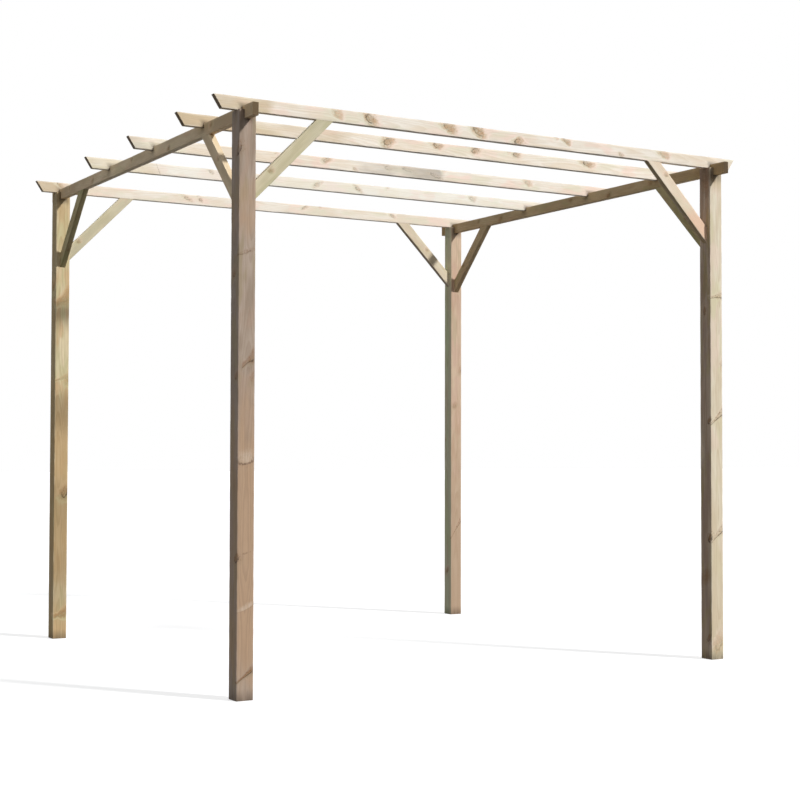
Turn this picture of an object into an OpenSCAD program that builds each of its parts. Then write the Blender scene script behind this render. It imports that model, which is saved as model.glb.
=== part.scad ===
// Wooden garden pergola, in millimetres, +Z up.
// Four square posts carry two side beams in slots cut in their tops. Five rafters with raked ends
// lie across the beams, and each post has two 45 degree braces.
// The origin is on the ground at the middle of the four posts. The front is towards -Y.

/* [Posts] */
// Side of a post's square section
post_side = 75; // [60:1:120]
// Height of a post, from the ground to the seat of the rafters
post_h = 2400; // [1800:5:3000]
// Outer width over the posts, left to right
frame_w = 2590; // [1800:5:3600]
// Outer depth over the posts, front to back
frame_d = 2440; // [2150:5:3600]

/* [Side beams] */
// Thickness of a side beam
beam_t = 28; // [20:1:40]
// Height of a side beam's section
beam_h = 55; // [45:1:80]
// How far a side beam stands above the post tops
beam_rise = 18; // [8:1:25]
// How far a side beam sticks out past the posts at each end
beam_out = 75; // [20:1:200]

/* [Rafters] */
// Thickness of a rafter
rafter_t = 28; // [20:1:40]
// Height of a rafter's section
rafter_h = 55; // [45:1:80]
// How far a rafter's top edge sticks out past the posts at each end
rafter_out = 103; // [50:1:250]
// How much further a rafter's top edge reaches than its bottom edge
rafter_rake = 36; // [0:1:40]
// Distance from the first rafter to the second
bay_1 = 395; // [200:5:500]
// Distance from the second rafter to the third
bay_2 = 585; // [300:5:650]
// Distance from the third rafter to the fourth
bay_3 = 590; // [300:5:650]

/* [Braces] */
// Thickness of a brace
brace_t = 28; // [20:1:40]
// Width of a brace's face
brace_w = 55; // [40:1:80]
// Length of a brace's outer edge along the post and along the rail
brace_leg = 370; // [200:1:500]

/* [Fits] */
// Gap between a beam and the sides of its slots and notches
fit_gap = 0.3; // [0.1:0.05:1]

/* [Hidden] */

// Places of the post centres from the middle of the frame
post_x = (frame_w - post_side) / 2;
post_y = (frame_d - post_side) / 2;

// Levels of the beams
beam_top = post_h + beam_rise;
beam_low = beam_top - beam_h;
beam_len = frame_d + 2 * beam_out;

// Slot in a post's top and notch in a rafter's underside
slot_w = beam_t + 2 * fit_gap;
slot_d = post_h - beam_low;

// Rafter lengths and places, front to back
rafter_half = frame_w / 2 + rafter_out;
rafter_y = [
    -post_y,
    -post_y + bay_1,
    -post_y + bay_1 + bay_2,
    -post_y + bay_1 + bay_2 + bay_3,
    post_y
];

// Inner edge of a brace, from the corner it fills
brace_inner = brace_leg - brace_w * sqrt(2);

// How far a cut runs past the face it opens
past = 1;

// Wood tones of the pieces
tan_wood = [0.70, 0.60, 0.47];
cream_wood = [0.84, 0.77, 0.64];
brown_wood = [0.58, 0.50, 0.39];
pale_wood = [0.90, 0.85, 0.76];
green_wood = [0.76, 0.72, 0.58];

// A square post with an open slot in its top that runs front to back
module post(side_x, side_y) {
    translate([side_x * post_x, side_y * post_y, 0]) {
        difference() {
            translate([-post_side / 2, -post_side / 2, 0])
                cube([post_side, post_side, post_h]);
            translate([-slot_w / 2, -post_side / 2 - past, beam_low])
                cube([slot_w, post_side + 2 * past, slot_d + past]);
        }
    }
}

// A side beam lying in the slots of a front post and a back post
module beam(side_x) {
    translate([side_x * post_x - beam_t / 2, -beam_len / 2, beam_low])
        cube([beam_t, beam_len, beam_h]);
}

// Outline of a rafter seen from the front: raked ends and a notch over each beam
module rafter_outline() {
    difference() {
        polygon([
            [-rafter_half + rafter_rake, 0],
            [rafter_half - rafter_rake, 0],
            [rafter_half, rafter_h],
            [-rafter_half, rafter_h]
        ]);
        for (side_x = [-1, 1])
            translate([side_x * post_x - slot_w / 2, -past])
                square([slot_w, beam_rise + past]);
    }
}

// A rafter, counted from the front
module rafter(index) {
    translate([0, rafter_y[index] + rafter_t / 2, post_h])
        rotate([90, 0, 0])
            linear_extrude(height = rafter_t)
                rafter_outline();
}

// Outline of a brace in the corner between a post, on its left, and a rail, above it
module brace_outline() {
    polygon([
        [0, -brace_leg],
        [brace_leg, 0],
        [brace_inner, 0],
        [0, -brace_inner]
    ]);
}

// A brace between a post and the first or last rafter
module brace_x(side_x, side_y) {
    translate([side_x * (post_x - post_side / 2), side_y * post_y, post_h])
        mirror([side_x > 0 ? 1 : 0, 0, 0])
            translate([0, brace_t / 2, 0])
                rotate([90, 0, 0])
                    linear_extrude(height = brace_t)
                        brace_outline();
}

// A brace between a post and a side beam
module brace_y(side_x, side_y) {
    translate([side_x * post_x, side_y * (post_y - post_side / 2), beam_low])
        mirror([0, side_y > 0 ? 1 : 0, 0])
            translate([-brace_t / 2, 0, 0])
                rotate([90, 0, 90])
                    linear_extrude(height = brace_t)
                        brace_outline();
}

module post_front_left() { color(tan_wood) post(-1, -1); }
module post_front_right() { color(cream_wood) post(1, -1); }
module post_back_left() { color(tan_wood) post(-1, 1); }
module post_back_right() { color(tan_wood) post(1, 1); }
module beam_left() { color(brown_wood) beam(-1); }
module beam_right() { color(brown_wood) beam(1); }
module rafter_1() { color(pale_wood) rafter(0); }
module rafter_2() { color(pale_wood) rafter(1); }
module rafter_3() { color(pale_wood) rafter(2); }
module rafter_4() { color(pale_wood) rafter(3); }
module rafter_5() { color(pale_wood) rafter(4); }
module brace_front_left_x() { color(green_wood) brace_x(-1, -1); }
module brace_front_right_x() { color(green_wood) brace_x(1, -1); }
module brace_back_left_x() { color(green_wood) brace_x(-1, 1); }
module brace_back_right_x() { color(green_wood) brace_x(1, 1); }
module brace_front_left_y() { color(brown_wood) brace_y(-1, -1); }
module brace_front_right_y() { color(brown_wood) brace_y(1, -1); }
module brace_back_left_y() { color(brown_wood) brace_y(-1, 1); }
module brace_back_right_y() { color(brown_wood) brace_y(1, 1); }

post_front_left();
post_front_right();
post_back_left();
post_back_right();
beam_left();
beam_right();
rafter_1();
rafter_2();
rafter_3();
rafter_4();
rafter_5();
brace_front_left_x();
brace_front_right_x();
brace_back_left_x();
brace_back_right_x();
brace_front_left_y();
brace_front_right_y();
brace_back_left_y();
brace_back_right_y();
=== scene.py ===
"""Dressed model of a wooden garden pergola: posts, side beams, raked rafters and corner braces."""

import itertools
import logging
import math
from dataclasses import dataclass, field, replace
from enum import Enum
from typing import ClassVar, Dict, List, Optional, Sequence, Tuple, Union

import bpy
import numpy as np
from mathutils import Matrix, Vector


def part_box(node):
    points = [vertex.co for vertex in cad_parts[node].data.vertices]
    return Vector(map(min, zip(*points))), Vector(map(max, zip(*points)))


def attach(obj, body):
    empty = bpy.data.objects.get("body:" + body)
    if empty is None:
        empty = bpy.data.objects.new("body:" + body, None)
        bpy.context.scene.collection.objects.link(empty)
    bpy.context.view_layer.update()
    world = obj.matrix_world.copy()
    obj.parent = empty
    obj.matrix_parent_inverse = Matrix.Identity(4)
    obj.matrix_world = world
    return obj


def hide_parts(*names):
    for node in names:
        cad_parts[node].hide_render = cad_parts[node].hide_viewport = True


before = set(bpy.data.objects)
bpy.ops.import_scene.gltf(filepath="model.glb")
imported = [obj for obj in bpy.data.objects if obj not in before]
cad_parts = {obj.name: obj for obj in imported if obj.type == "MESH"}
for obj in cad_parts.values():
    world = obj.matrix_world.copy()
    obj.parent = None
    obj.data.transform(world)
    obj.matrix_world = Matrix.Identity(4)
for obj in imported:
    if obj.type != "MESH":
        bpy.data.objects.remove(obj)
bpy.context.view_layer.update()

LOG = logging.getLogger("pergola")
Colour = Tuple[float, float, float, float]
Triple = Tuple[float, float, float]
Box = Tuple[Triple, Triple]
Tints = List[Tuple[float, float]]
Wire = bpy.types.NodeSocket
Feed = Union[Wire, float, Sequence[float]]
Inputs = Dict[Union[int, str], Feed]

# Shares at which a knot's stain counts distance along the grain, across it and in depth
STAIN_SHAPE: Triple = (1.0, 0.7, 0.0)
# How far a cut runs past the face that it opens
PAST: float = 1.0


def tone(red: int, green: int, blue: int) -> Colour:
    """Turns a paint-chart colour into the linear colour a shader takes.

    Args:
        red: Red, 0 to 255.
        green: Green, 0 to 255.
        blue: Blue, 0 to 255.

    Returns:
        The linear colour with full alpha.
    """
    linear = [c / 12.92 if c <= 0.04045 else ((c + 0.055) / 1.055) ** 2.4
              for c in (red / 255, green / 255, blue / 255)]
    return linear[0], linear[1], linear[2], 1.0


class Side(Enum):
    """The four long faces of a bar, named along its own v and w axes."""

    LOW_V = (-1, 0)
    HIGH_V = (1, 0)
    LOW_W = (0, -1)
    HIGH_W = (0, 1)

    @property
    def normal(self) -> np.ndarray:
        """The direction, in v and w, that the face looks in."""
        return np.array(self.value, float)

    @property
    def following(self) -> "Side":
        """The next face on the way around the section."""
        return Side((-self.value[1], self.value[0]))


@dataclass(frozen=True)
class Knot:
    """A branch that comes out of a bar's face.

    Attributes:
        along: Distance from the bar's start, in metres.
        side: Face that the branch comes out of.
        across: Distance from the middle line of that face, in metres.
        size: Radius at the face, in metres.
        core: How dark the middle of the knot is, 0 to 1; below zero it is torn and pale.
        bark: How dark the ring around it is, 0 to 1.
        halo: How strongly the wood around it is stained, 0 to 1.
        stretch: How much longer it is along the grain than across.
        lean: How far the branch climbs along the bar for each metre outwards.
        heart: Where the branch starts in the section, or None for well inside the bar.
        slant: How far the knot slides along the bar for each metre across the face.
    """

    along: float
    side: Side
    across: float
    size: float = 0.010
    core: float = 0.4
    bark: float = 0.6
    halo: float = 0.5
    stretch: float = 1.5
    lean: float = 0.3
    heart: Optional[Tuple[float, float]] = None
    slant: float = 0.4

    # How deep a split branch lies under the face, in metres
    SPLIT_DEPTH: ClassVar[float] = 0.0015

    @classmethod
    def spike(cls, along: float, half: float, size: float, core: float, bark: float, halo: float,
              lean: float, start: float = 1.0) -> "Knot":
        """Makes a branch that the saw split lengthwise, which crosses a post's front face.

        Args:
            along: Distance from the foot at the right-hand arris.
            half: Half the side of the post.
            size: Radius at the right-hand arris.
            core: Darkness of its middle.
            bark: Darkness of its ring.
            halo: Strength of its stain.
            lean: How far it climbs to the right.
            start: How far left of the middle it begins, as a share of half the side.

        Returns:
            The knot.
        """
        depth = half - cls.SPLIT_DEPTH
        return cls(along, Side.HIGH_V, -depth, size, core, bark, halo, 1.0, lean, (-start * half, -depth))


@dataclass(frozen=True)
class Check:
    """A drying crack that runs along a face.

    Attributes:
        side: Face that it opens in.
        across: Distance from the middle line of that face, in metres.
        start: Where it begins along the bar, in metres.
        end: Where it ends along the bar, in metres.
        depth: Depth at its middle, in metres.
    """

    side: Side
    across: float
    start: float
    end: float
    depth: float = 0.004

    # Below one, the crack stays deep almost to its ends
    TAPER: ClassVar[float] = 0.6

    def sink(self, metres: np.ndarray) -> np.ndarray:
        """Finds how deep the crack is.

        Args:
            metres: Places along the bar.

        Returns:
            The depth at each place, in metres.
        """
        share = np.clip((metres - self.start) / (self.end - self.start), 0, 1)
        return self.depth * np.sin(math.pi * share) ** self.TAPER


@dataclass(frozen=True)
class Cloud:
    """A cloudy pattern that runs through the wood.

    Attributes:
        along: How fast it changes along the grain, in clouds a metre.
        across: How fast it changes across the grain, in clouds a metre.
        shift: Where in the pattern the wood starts.
        detail: How many finer layers are added.
        roughness: How strong the finer layers are.
        size: How far the value swings in all, where it is used around zero.
    """

    along: float
    across: float
    shift: Triple = (0.0, 0.0, 0.0)
    detail: float = 2.0
    roughness: float = 0.5
    size: float = 1.0


class NodeBench:
    """Wires the shader nodes of one material or world."""

    def __init__(self, tree: bpy.types.NodeTree) -> None:
        """Clears the tree that the nodes go into.

        Args:
            tree: Node tree of the material or world.
        """
        self.tree = tree
        self.tree.nodes.clear()

    def add(self, kind: str, inputs: Inputs, **settings: str) -> bpy.types.Node:
        """Adds a node and feeds it.

        Args:
            kind: Blender's name for the node type.
            inputs: Output to link or value to set, for each input by its name or number.
            **settings: Properties to set on the node.

        Returns:
            The new node.
        """
        node = self.tree.nodes.new(kind)
        for key, choice in settings.items():
            setattr(node, key, choice)
        for name, value in inputs.items():
            if isinstance(value, Wire):
                self.tree.links.new(value, node.inputs[name])
            else:
                node.inputs[name].default_value = value
        return node

    def attribute(self, name: str) -> Wire:
        """Reads a vector that the mesh carries."""
        return self.add("ShaderNodeAttribute", {}, attribute_name=name).outputs["Vector"]

    def split(self, vector: Wire) -> Sequence[Wire]:
        """Splits a vector into its three parts."""
        return self.add("ShaderNodeSeparateXYZ", {0: vector}).outputs

    def length(self, vector: Wire) -> Wire:
        """Measures a vector."""
        return self.add("ShaderNodeVectorMath", {0: vector}, operation="LENGTH").outputs["Value"]

    def math(self, operation: str, first: Feed, second: Feed = 0.0) -> Wire:
        """Does one sum.

        Args:
            operation: Blender's name for the sum.
            first: Output or number.
            second: Output or number.

        Returns:
            The output that holds the answer.
        """
        return self.add("ShaderNodeMath", {0: first, 1: second}, operation=operation).outputs[0]

    def plus(self, first: Wire, *others: Feed) -> Wire:
        """Adds values up.

        Args:
            first: Output that holds the first value.
            *others: Outputs or numbers to add.

        Returns:
            The output that holds the sum.
        """
        for other in others:
            first = self.math("ADD", first, other)
        return first

    def times(self, first: Wire, *others: Feed) -> Wire:
        """Multiplies values.

        Args:
            first: Output that holds the first value.
            *others: Outputs or numbers to multiply by.

        Returns:
            The output that holds the product.
        """
        for other in others:
            first = self.math("MULTIPLY", first, other)
        return first

    def stretched(self, vector: Wire, factors: Triple, shift: Triple = (0.0, 0.0, 0.0)) -> Wire:
        """Scales and shifts a vector.

        Args:
            vector: Output that holds the vector.
            factors: Scale along each axis.
            shift: What is added afterwards.

        Returns:
            The output that holds the new vector.
        """
        inputs = {0: vector, 1: factors, 2: shift}
        return self.add("ShaderNodeVectorMath", inputs, operation="MULTIPLY_ADD").outputs[0]

    def cloud(self, place: Wire, pattern: Cloud) -> Wire:
        """Makes a cloudy value around one half.

        Args:
            place: Output that holds the place in the bar.
            pattern: The pattern of the clouds.

        Returns:
            The output that holds the value.
        """
        spot = self.stretched(place, (pattern.along, pattern.across, pattern.across), pattern.shift)
        inputs = {"Vector": spot, "Scale": 1.0, "Detail": pattern.detail, "Roughness": pattern.roughness}
        return self.add("ShaderNodeTexNoise", inputs).outputs[0]

    def swing(self, place: Wire, pattern: Cloud) -> Wire:
        """Makes a cloudy value around zero."""
        return self.times(self.math("SUBTRACT", self.cloud(place, pattern), 0.5), pattern.size)

    def ramp(self, value: Wire, start: float, end: float, low: float = 0.0, high: float = 1.0) -> Wire:
        """Turns a value into a smooth step.

        Args:
            value: Output that is read.
            start: Value at which the step begins.
            end: Value at which the step ends.
            low: Answer before the step.
            high: Answer after the step.

        Returns:
            The output that holds the answer.
        """
        inputs = {"Value": value, "From Min": start, "From Max": end, "To Min": low, "To Max": high}
        return self.add("ShaderNodeMapRange", inputs, interpolation_type="SMOOTHSTEP").outputs[0]

    def mix(self, share: Wire, first: Feed, second: Feed) -> Wire:
        """Mixes two colours.

        Args:
            share: Output that holds the share of the second colour.
            first: Output or colour.
            second: Output or colour.

        Returns:
            The output that holds the colour.
        """
        return self.add("ShaderNodeMix", {0: share, 6: first, 7: second}, data_type="RGBA").outputs[2]


@dataclass(frozen=True)
class KnotWires:
    """What a mesh says about the nearest knot.

    Attributes:
        place: Place from the knot, in knot radii.
        core: Darkness of its middle.
        bark: Darkness of its ring.
        halo: Strength of its stain.
    """

    place: Wire
    core: Wire
    bark: Wire
    halo: Wire


@dataclass(frozen=True)
class WoodFinish:
    """Treated softwood with growth rings, knots and blotches.

    Attributes:
        pale: Main colour.
        deep: Colour of the darker stretches.
        blush: Colour of the pinkish stretches.
        moss: Colour of the stretches where the green treatment shows.
        ring: Colour of the late wood lines.
        stain: Colour of the wood around a knot.
        lower: Colour that the tinted stretches take.
        aged: Colour of the weathered faces, which on some faces is painted shade and on others painted light.
        end: Colour of the sawn ends.
        amber: Colour of the resin around a knot.
        ring_depth: Strength of the ring lines, 0 to 1.
        aged_moss: The same colour where the green treatment shows.
        end_share: How strongly the sawn ends take their colour.
        ring_gap: Distance between growth rings, in metres.
    """

    pale: Colour
    deep: Colour
    blush: Colour
    moss: Colour
    ring: Colour
    stain: Colour
    lower: Colour
    aged: Colour
    end: Colour
    amber: Colour
    ring_depth: float
    aged_moss: Colour = tone(150, 136, 96)
    end_share: float = 0.8
    ring_gap: float = 0.0042

    # Colours that every wood shares
    FLECK: ClassVar[Colour] = tone(126, 90, 54)
    TORN: ClassVar[Colour] = tone(216, 198, 178)
    CORE: ClassVar[Colour] = tone(132, 94, 56)
    BARK: ClassVar[Colour] = tone(58, 42, 32)
    # DAMP is also the colour of the painted shade in cracks and around seats
    DAMP: ClassVar[Colour] = tone(74, 60, 47)

    # Fibres, saw marks and the wander of the rings
    FIBRE: ClassVar[Cloud] = Cloud(14, 900, detail=3.0, roughness=0.6)
    SAW_TEETH: ClassVar[Cloud] = Cloud(420, 36, detail=1.0)
    SAW_PATCH: ClassVar[Cloud] = Cloud(7, 30, (2.0, 6.0, 1.0))
    WIDE_WANDER: ClassVar[Cloud] = Cloud(1.4, 10, size=0.022)
    FINE_WANDER: ClassVar[Cloud] = Cloud(9, 70, size=0.0026)

    # Colour stretches, tints and streaks along a bar
    DEEP_CLOUD: ClassVar[Cloud] = Cloud(4.2, 18, detail=2.5, roughness=0.55)
    BLUSH_CLOUD: ClassVar[Cloud] = Cloud(5.4, 15, (7.3, 1.1, 4.2))
    MOSS_CLOUD: ClassVar[Cloud] = Cloud(4.6, 20, (3.1, 9.4, 2.7))
    TINT_DRIFT: ClassVar[Cloud] = Cloud(7, 30, size=0.55)
    STREAK: ClassVar[Cloud] = Cloud(3, 60, (4.0, 1.0, 6.0), detail=3.0)
    RUB: ClassVar[Cloud] = Cloud(11, 60, (5.0, 2.0, 8.0), detail=3.0)

    # Stains, specks and ragged edges at a knot
    STAIN_EDGE: ClassVar[Cloud] = Cloud(45, 70, size=2.2)
    RESIN: ClassVar[Cloud] = Cloud(75, 120, (3.0, 7.0, 2.0))
    SPECKS: ClassVar[Cloud] = Cloud(130, 200, (8.0, 3.0, 5.0))
    KNOT_EDGE: ClassVar[Cloud] = Cloud(60, 110, size=0.75)
    KNOT_FRAY: ClassVar[Cloud] = Cloud(190, 280, size=0.3)
    UNEVEN: ClassVar[Cloud] = Cloud(110, 150, (1.0, 4.0, 9.0))
    SPLINTERS: ClassVar[Cloud] = Cloud(26, 230, (6.0, 2.0, 4.0))

    # Most that each colour covers
    FIBRE_SHARE: ClassVar[float] = 0.20
    BLUSH_SHARE: ClassVar[float] = 0.85
    MOSS_SHARE: ClassVar[float] = 0.8
    TINT_SHARE: ClassVar[float] = 0.85
    AGED_MOSS_SHARE: ClassVar[float] = 0.75
    FLANK_SHARE: ClassVar[float] = 0.8
    SOAK_SHARE: ClassVar[float] = 0.75
    FLECK_SHARE: ClassVar[float] = 0.6

    # How a knot swells the rings: height in metres, base of the falling curve, and how fast it falls
    SWELL: ClassVar[float] = 0.012
    SWELL_BASE: ClassVar[float] = 2.718
    SWELL_FALL: ClassVar[float] = -0.30
    # How much further a torn knot's pale wood runs up the bar
    TORN_RISE: ClassVar[float] = 0.6

    # Gloss, extra roughness of the sawn ends, and the depth in metres and strengths of the relief
    GLOSS: ClassVar[float] = 0.18
    END_ROUGH: ClassVar[float] = 0.12
    RELIEF_DEPTH: ClassVar[float] = 0.0009
    RELIEF: ClassVar[float] = 0.55
    RING_RELIEF: ClassVar[float] = 0.5
    FIBRE_RELIEF: ClassVar[float] = 0.9

    def material(self, name: str) -> bpy.types.Material:
        """Makes the finish as a material.

        Args:
            name: Name of the material.

        Returns:
            The material.
        """
        material = bpy.data.materials.new(name)
        material.use_nodes = True
        bench = NodeBench(material.node_tree)
        grain = bench.attribute("grain")
        knot = KnotWires(bench.attribute("knot"), *bench.split(bench.attribute("knot_tone")))
        wear = bench.split(bench.attribute("wear"))

        late = self._rings(bench, grain, knot)
        fibre = bench.cloud(grain, self.FIBRE)
        colour = self._stretches(bench, grain)
        colour = bench.mix(bench.times(late, self.ring_depth), colour, self.ring)
        colour = bench.mix(bench.ramp(fibre, 0.42, 0.75, high=self.FIBRE_SHARE), colour, self.ring)
        colour = self._stained(bench, colour, grain, knot)
        colour = self._knotted(bench, colour, grain, knot)
        colour = self._worn(bench, colour, grain, wear)

        relief = bench.plus(bench.times(late, self.RING_RELIEF), bench.times(fibre, self.FIBRE_RELIEF),
                            self._saw_marks(bench, grain))
        bump = bench.add("ShaderNodeBump", {
            "Strength": self.RELIEF, "Distance": self.RELIEF_DEPTH, "Height": relief})
        rough = bench.plus(bench.ramp(fibre, 0.3, 0.7, 0.62, 0.80), bench.times(wear[1], self.END_ROUGH))
        shader = bench.add("ShaderNodeBsdfPrincipled", {
            "Base Color": colour, "Roughness": rough, "Specular IOR Level": self.GLOSS,
            "Normal": bump.outputs[0]})
        bench.add("ShaderNodeOutputMaterial", {"Surface": shader.outputs[0]})
        return material

    def _saw_marks(self, bench: NodeBench, grain: Wire) -> Wire:
        """Draws the faint marks that the saw left across the grain.

        Args:
            bench: Where the nodes go.
            grain: Place in the bar.

        Returns:
            The output that holds the relief.
        """
        strength = bench.ramp(bench.cloud(grain, self.SAW_PATCH), 0.42, 0.7, 0.05, 0.4)
        return bench.times(bench.cloud(grain, self.SAW_TEETH), strength)

    def _rings(self, bench: NodeBench, grain: Wire, knot: KnotWires) -> Wire:
        """Draws the growth rings, which swell around a knot.

        Args:
            bench: Where the nodes go.
            grain: Place in the bar, measured from its pith.
            knot: The nearest knot.

        Returns:
            The output that holds the share of late wood.
        """
        reach = bench.length(knot.place)
        swell = bench.math("POWER", self.SWELL_BASE, bench.times(reach, reach, self.SWELL_FALL))
        radius = bench.plus(
            bench.length(bench.stretched(grain, (0.0, 1.0, 1.0))), bench.times(swell, knot.halo, self.SWELL),
            bench.swing(grain, self.WIDE_WANDER), bench.swing(grain, self.FINE_WANDER))
        turn = bench.math("FRACT", bench.math("DIVIDE", radius, self.ring_gap))
        return bench.times(bench.ramp(turn, 0.25, 0.88), bench.ramp(turn, 1.0, 0.92))

    def _stretches(self, bench: NodeBench, grain: Wire) -> Wire:
        """Mixes the colour stretches, tints, weathering and the aged faces' painted shade and light along the
        bar.

        Args:
            bench: Where the nodes go.
            grain: Place in the bar.

        Returns:
            The output that holds the colour.
        """
        colour = bench.mix(bench.ramp(bench.cloud(grain, self.DEEP_CLOUD), 0.40, 0.64), self.pale, self.deep)
        blush = bench.ramp(bench.cloud(grain, self.BLUSH_CLOUD), 0.50, 0.62, high=self.BLUSH_SHARE)
        colour = bench.mix(blush, colour, self.blush)
        moss = bench.cloud(grain, self.MOSS_CLOUD)
        colour = bench.mix(bench.ramp(moss, 0.53, 0.66, high=self.MOSS_SHARE), colour, self.moss)
        tint, aged, _ = bench.split(bench.attribute("tint"))
        tinted = bench.plus(tint, bench.swing(grain, self.TINT_DRIFT))
        colour = bench.mix(bench.ramp(tinted, 0.2, 0.8, high=self.TINT_SHARE), colour, self.lower)
        # The aged colour is weathering on tops and backs, painted shade on the posts' left faces and the
        # braces' undersides, and painted light on the back-right post's left face
        green = bench.ramp(moss, 0.48, 0.60, high=self.AGED_MOSS_SHARE)
        weathered = bench.mix(green, self.aged, self.aged_moss)
        streak = bench.ramp(bench.cloud(grain, self.STREAK), 0.3, 0.6, 0.65, 1.0)
        return bench.mix(bench.times(aged, streak), colour, weathered)

    def _stained(self, bench: NodeBench, colour: Wire, grain: Wire, knot: KnotWires) -> Wire:
        """Stains and flecks the wood around the knots.

        Args:
            bench: Where the nodes go.
            colour: Colour of the wood.
            grain: Place in the bar.
            knot: The nearest knot.

        Returns:
            The output that holds the colour.
        """
        patch = bench.plus(bench.length(bench.stretched(knot.place, STAIN_SHAPE)),
                           bench.swing(grain, self.STAIN_EDGE))
        flank = bench.mix(bench.ramp(bench.split(knot.place)[0], -0.8, 0.8), self.moss, self.blush)
        warm = bench.times(knot.halo, self.FLANK_SHARE, bench.ramp(patch, 3.4, 1.8))
        colour = bench.mix(warm, colour, flank)
        resin = bench.cloud(grain, self.RESIN)
        soaked = bench.mix(bench.ramp(resin, 0.42, 0.58), self.stain, self.amber)
        soak = bench.times(knot.halo, self.SOAK_SHARE, bench.ramp(patch, 2.5, 0.9))
        colour = bench.mix(bench.times(soak, bench.ramp(resin, 0.30, 0.50, 0.45, 1.0)), colour, soaked)
        specks = bench.ramp(bench.cloud(grain, self.SPECKS), 0.52, 0.62)
        fleck = bench.times(knot.bark, self.FLECK_SHARE, specks, bench.ramp(patch, 2.0, 0.8))
        return bench.mix(fleck, colour, self.FLECK)

    def _knotted(self, bench: NodeBench, colour: Wire, grain: Wire, knot: KnotWires) -> Wire:
        """Paints the knots themselves: torn pale wood, or a dark middle, and a ring of bark.

        Args:
            bench: Where the nodes go.
            colour: Colour of the wood.
            grain: Place in the bar.
            knot: The nearest knot.

        Returns:
            The output that holds the colour.
        """
        beyond = bench.split(knot.place)[0]
        ragged = bench.plus(bench.length(knot.place), bench.swing(grain, self.KNOT_EDGE),
                            bench.swing(grain, self.KNOT_FRAY))
        uneven = bench.ramp(bench.cloud(grain, self.UNEVEN), 0.35, 0.65, 0.6, 1.0)
        splinters = bench.ramp(bench.cloud(grain, self.SPLINTERS), 0.36, 0.62, 0.45, 1.0)
        above = bench.times(bench.math("MAXIMUM", beyond, 0.0), self.TORN_RISE)
        fading = bench.ramp(bench.math("SUBTRACT", ragged, above), 1.20, 0.30)
        pale = bench.math("MAXIMUM", bench.times(knot.core, -1.0), 0.0)
        colour = bench.mix(bench.times(fading, splinters, pale), colour, self.TORN)
        dark = bench.math("MAXIMUM", knot.core, 0.0)
        colour = bench.mix(bench.times(bench.ramp(ragged, 1.25, 0.35), dark, uneven), colour, self.CORE)
        below = bench.ramp(beyond, 0.7, -0.3, 0.12, 1.0)
        rim = bench.times(bench.ramp(ragged, 0.66, 0.94), bench.ramp(ragged, 1.30, 1.04))
        return bench.mix(bench.times(rim, knot.bark, below, uneven), colour, self.BARK)

    def _worn(self, bench: NodeBench, colour: Wire, grain: Wire, wear: Sequence[Wire]) -> Wire:
        """Wears the arrises, darkens the sawn ends, dampens the feet and paints shade in the cracks and
        around the seats.

        Args:
            bench: Where the nodes go.
            colour: Colour of the wood.
            grain: Place in the bar.
            wear: How near an arris is, one on a sawn end, and the darkening: damp at a foot, painted shade at
                a seat and in a crack.

        Returns:
            The output that holds the colour.
        """
        edge, cut, damp = wear
        rub = bench.cloud(grain, self.RUB)
        colour = bench.mix(bench.times(edge, bench.ramp(rub, 0.40, 0.62, 0.05, 0.55)), colour, self.pale)
        colour = bench.mix(bench.times(cut, self.end_share), colour, self.end)
        # The dark mix is damp at the foot and painted shade in the cracks and around the seats
        return bench.mix(bench.times(damp, bench.ramp(rub, 0.3, 0.6, 0.55, 0.95)), colour, self.DAMP)


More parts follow.
